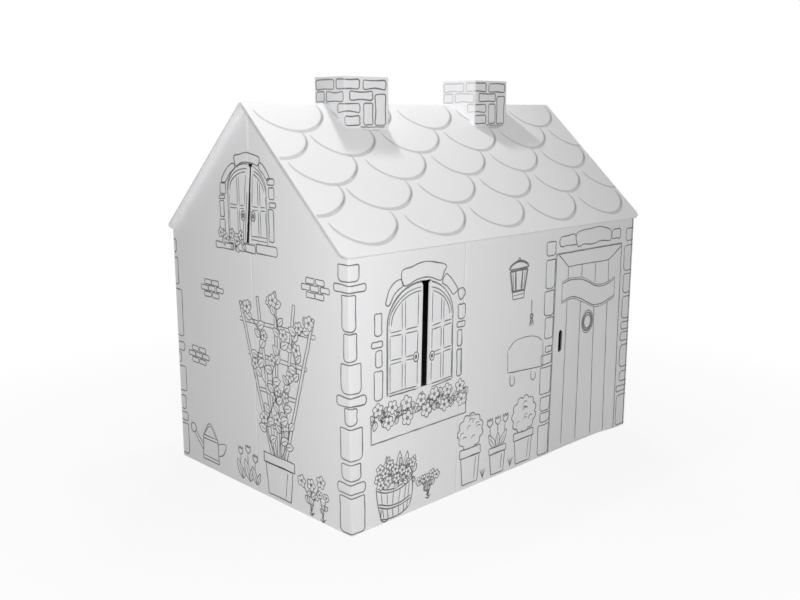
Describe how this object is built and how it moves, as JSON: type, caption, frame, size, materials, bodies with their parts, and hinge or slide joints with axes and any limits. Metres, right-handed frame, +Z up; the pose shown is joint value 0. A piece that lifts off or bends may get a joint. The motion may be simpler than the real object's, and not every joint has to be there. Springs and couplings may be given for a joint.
{
  "type": "cardboard play house",
  "caption": "Child-size play house folded from printed corrugated board, with a scored door, shuttered windows, a pitched roof and square chimneys",
  "frame": {"origin": "On the floor, below the middle of the roof", "axes": "+Z up; the front wall with the door faces -Y; the gable with the window faces -X; the ridge runs along X"},
  "size_m": [1.217, 0.76, 1.081],
  "materials": {
    "wall_board": "white-faced corrugated board with black line print, satin",
    "roof_board": "white-faced corrugated board with printed tiles, satin",
    "chimney_board": "white-faced corrugated board with printed stones, satin",
    "ink": "black printing ink lying on the board, matt"
  },
  "bodies": {
    "root": {"front_wall": "wall_board", "back_wall": "wall_board", "roof": "roof_board", "chimney_left": "chimney_board", "chimney_right": "chimney_board"}
  },
  "joints": []
}
